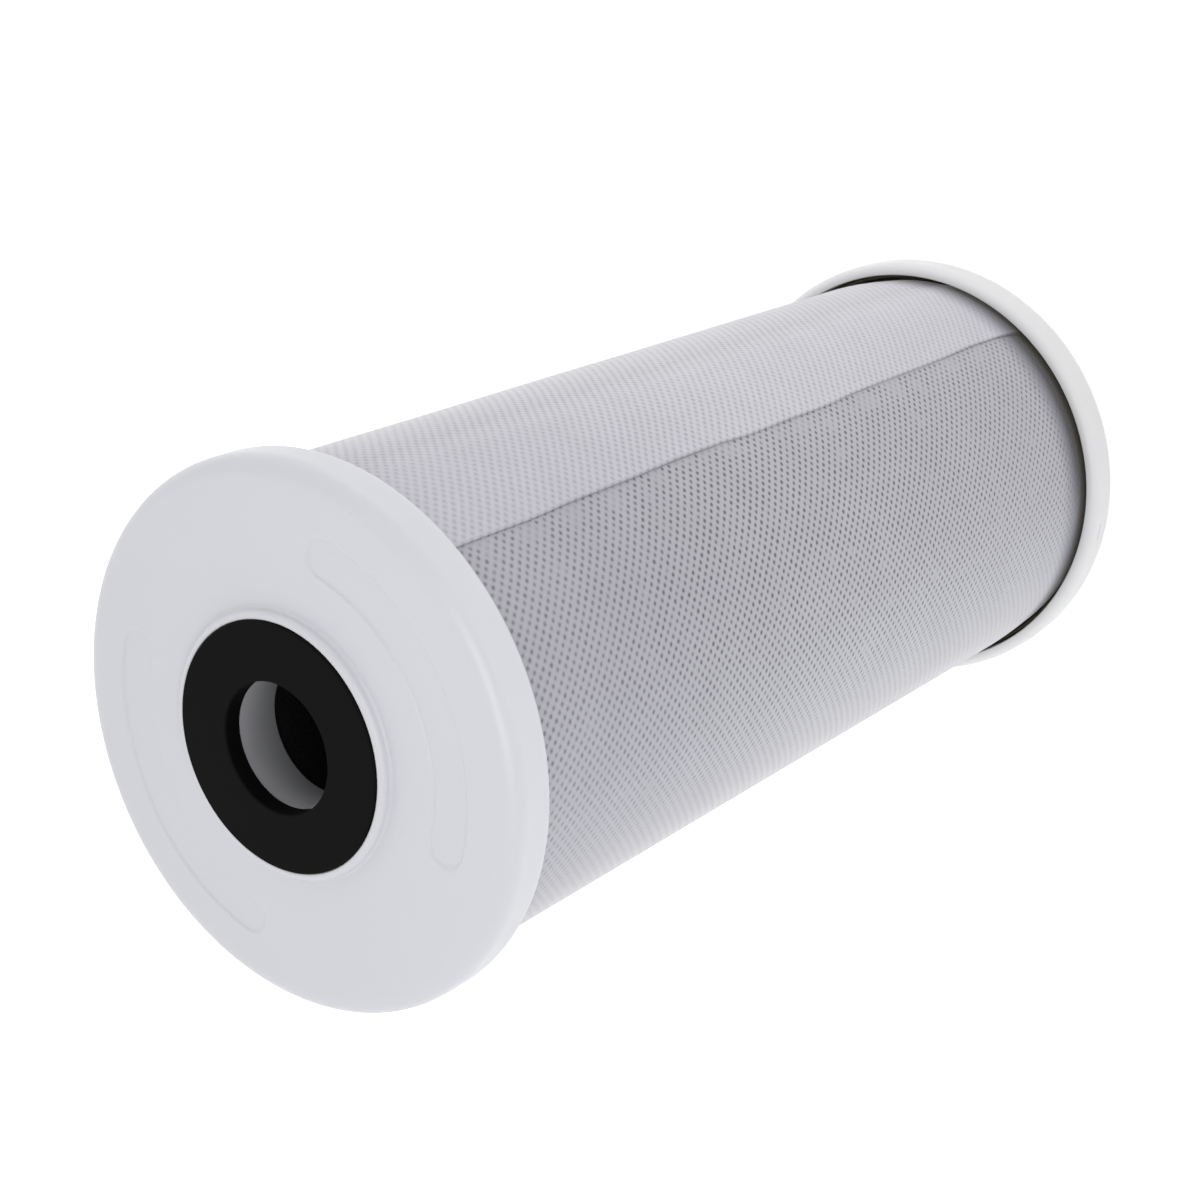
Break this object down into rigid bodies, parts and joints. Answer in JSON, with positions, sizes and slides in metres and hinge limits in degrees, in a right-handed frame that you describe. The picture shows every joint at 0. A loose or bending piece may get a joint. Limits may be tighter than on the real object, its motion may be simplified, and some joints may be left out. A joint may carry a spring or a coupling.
{
  "type": "whole house filter cartridge",
  "caption": "Radial-flow carbon block water filter cartridge with moulded end caps, flat sealing gaskets and a bonded sheet wrap.",
  "frame": {"origin": "centre of the bottom gasket's outer face, on the cartridge's axis", "axes": "+Z along the axis towards the top end cap, the end that the picture shows; -Y towards the middle of one arc panel, with the sheet's free edge 24 degrees from it towards +X"},
  "size_m": [0.11, 0.11, 0.25],
  "materials": {
    "end_cap_plastic": "satin white moulded polypropylene",
    "gasket_rubber": "matt black moulded rubber",
    "carbon": "matt black pressed activated carbon, fine pores",
    "spunbond_sheet": "thin point-bonded spunbond polypropylene sheet, slightly see-through",
    "hot_melt": "dark hot-melt adhesive"
  },
  "bodies": {
    "root": {"top_end_cap": "end_cap_plastic", "bottom_end_cap": "end_cap_plastic", "top_gasket": "gasket_rubber", "bottom_gasket": "gasket_rubber", "carbon_block": "carbon", "outer_wrap": "spunbond_sheet", "top_glue_bed": "hot_melt", "bottom_glue_bed": "hot_melt"}
  },
  "joints": []
}
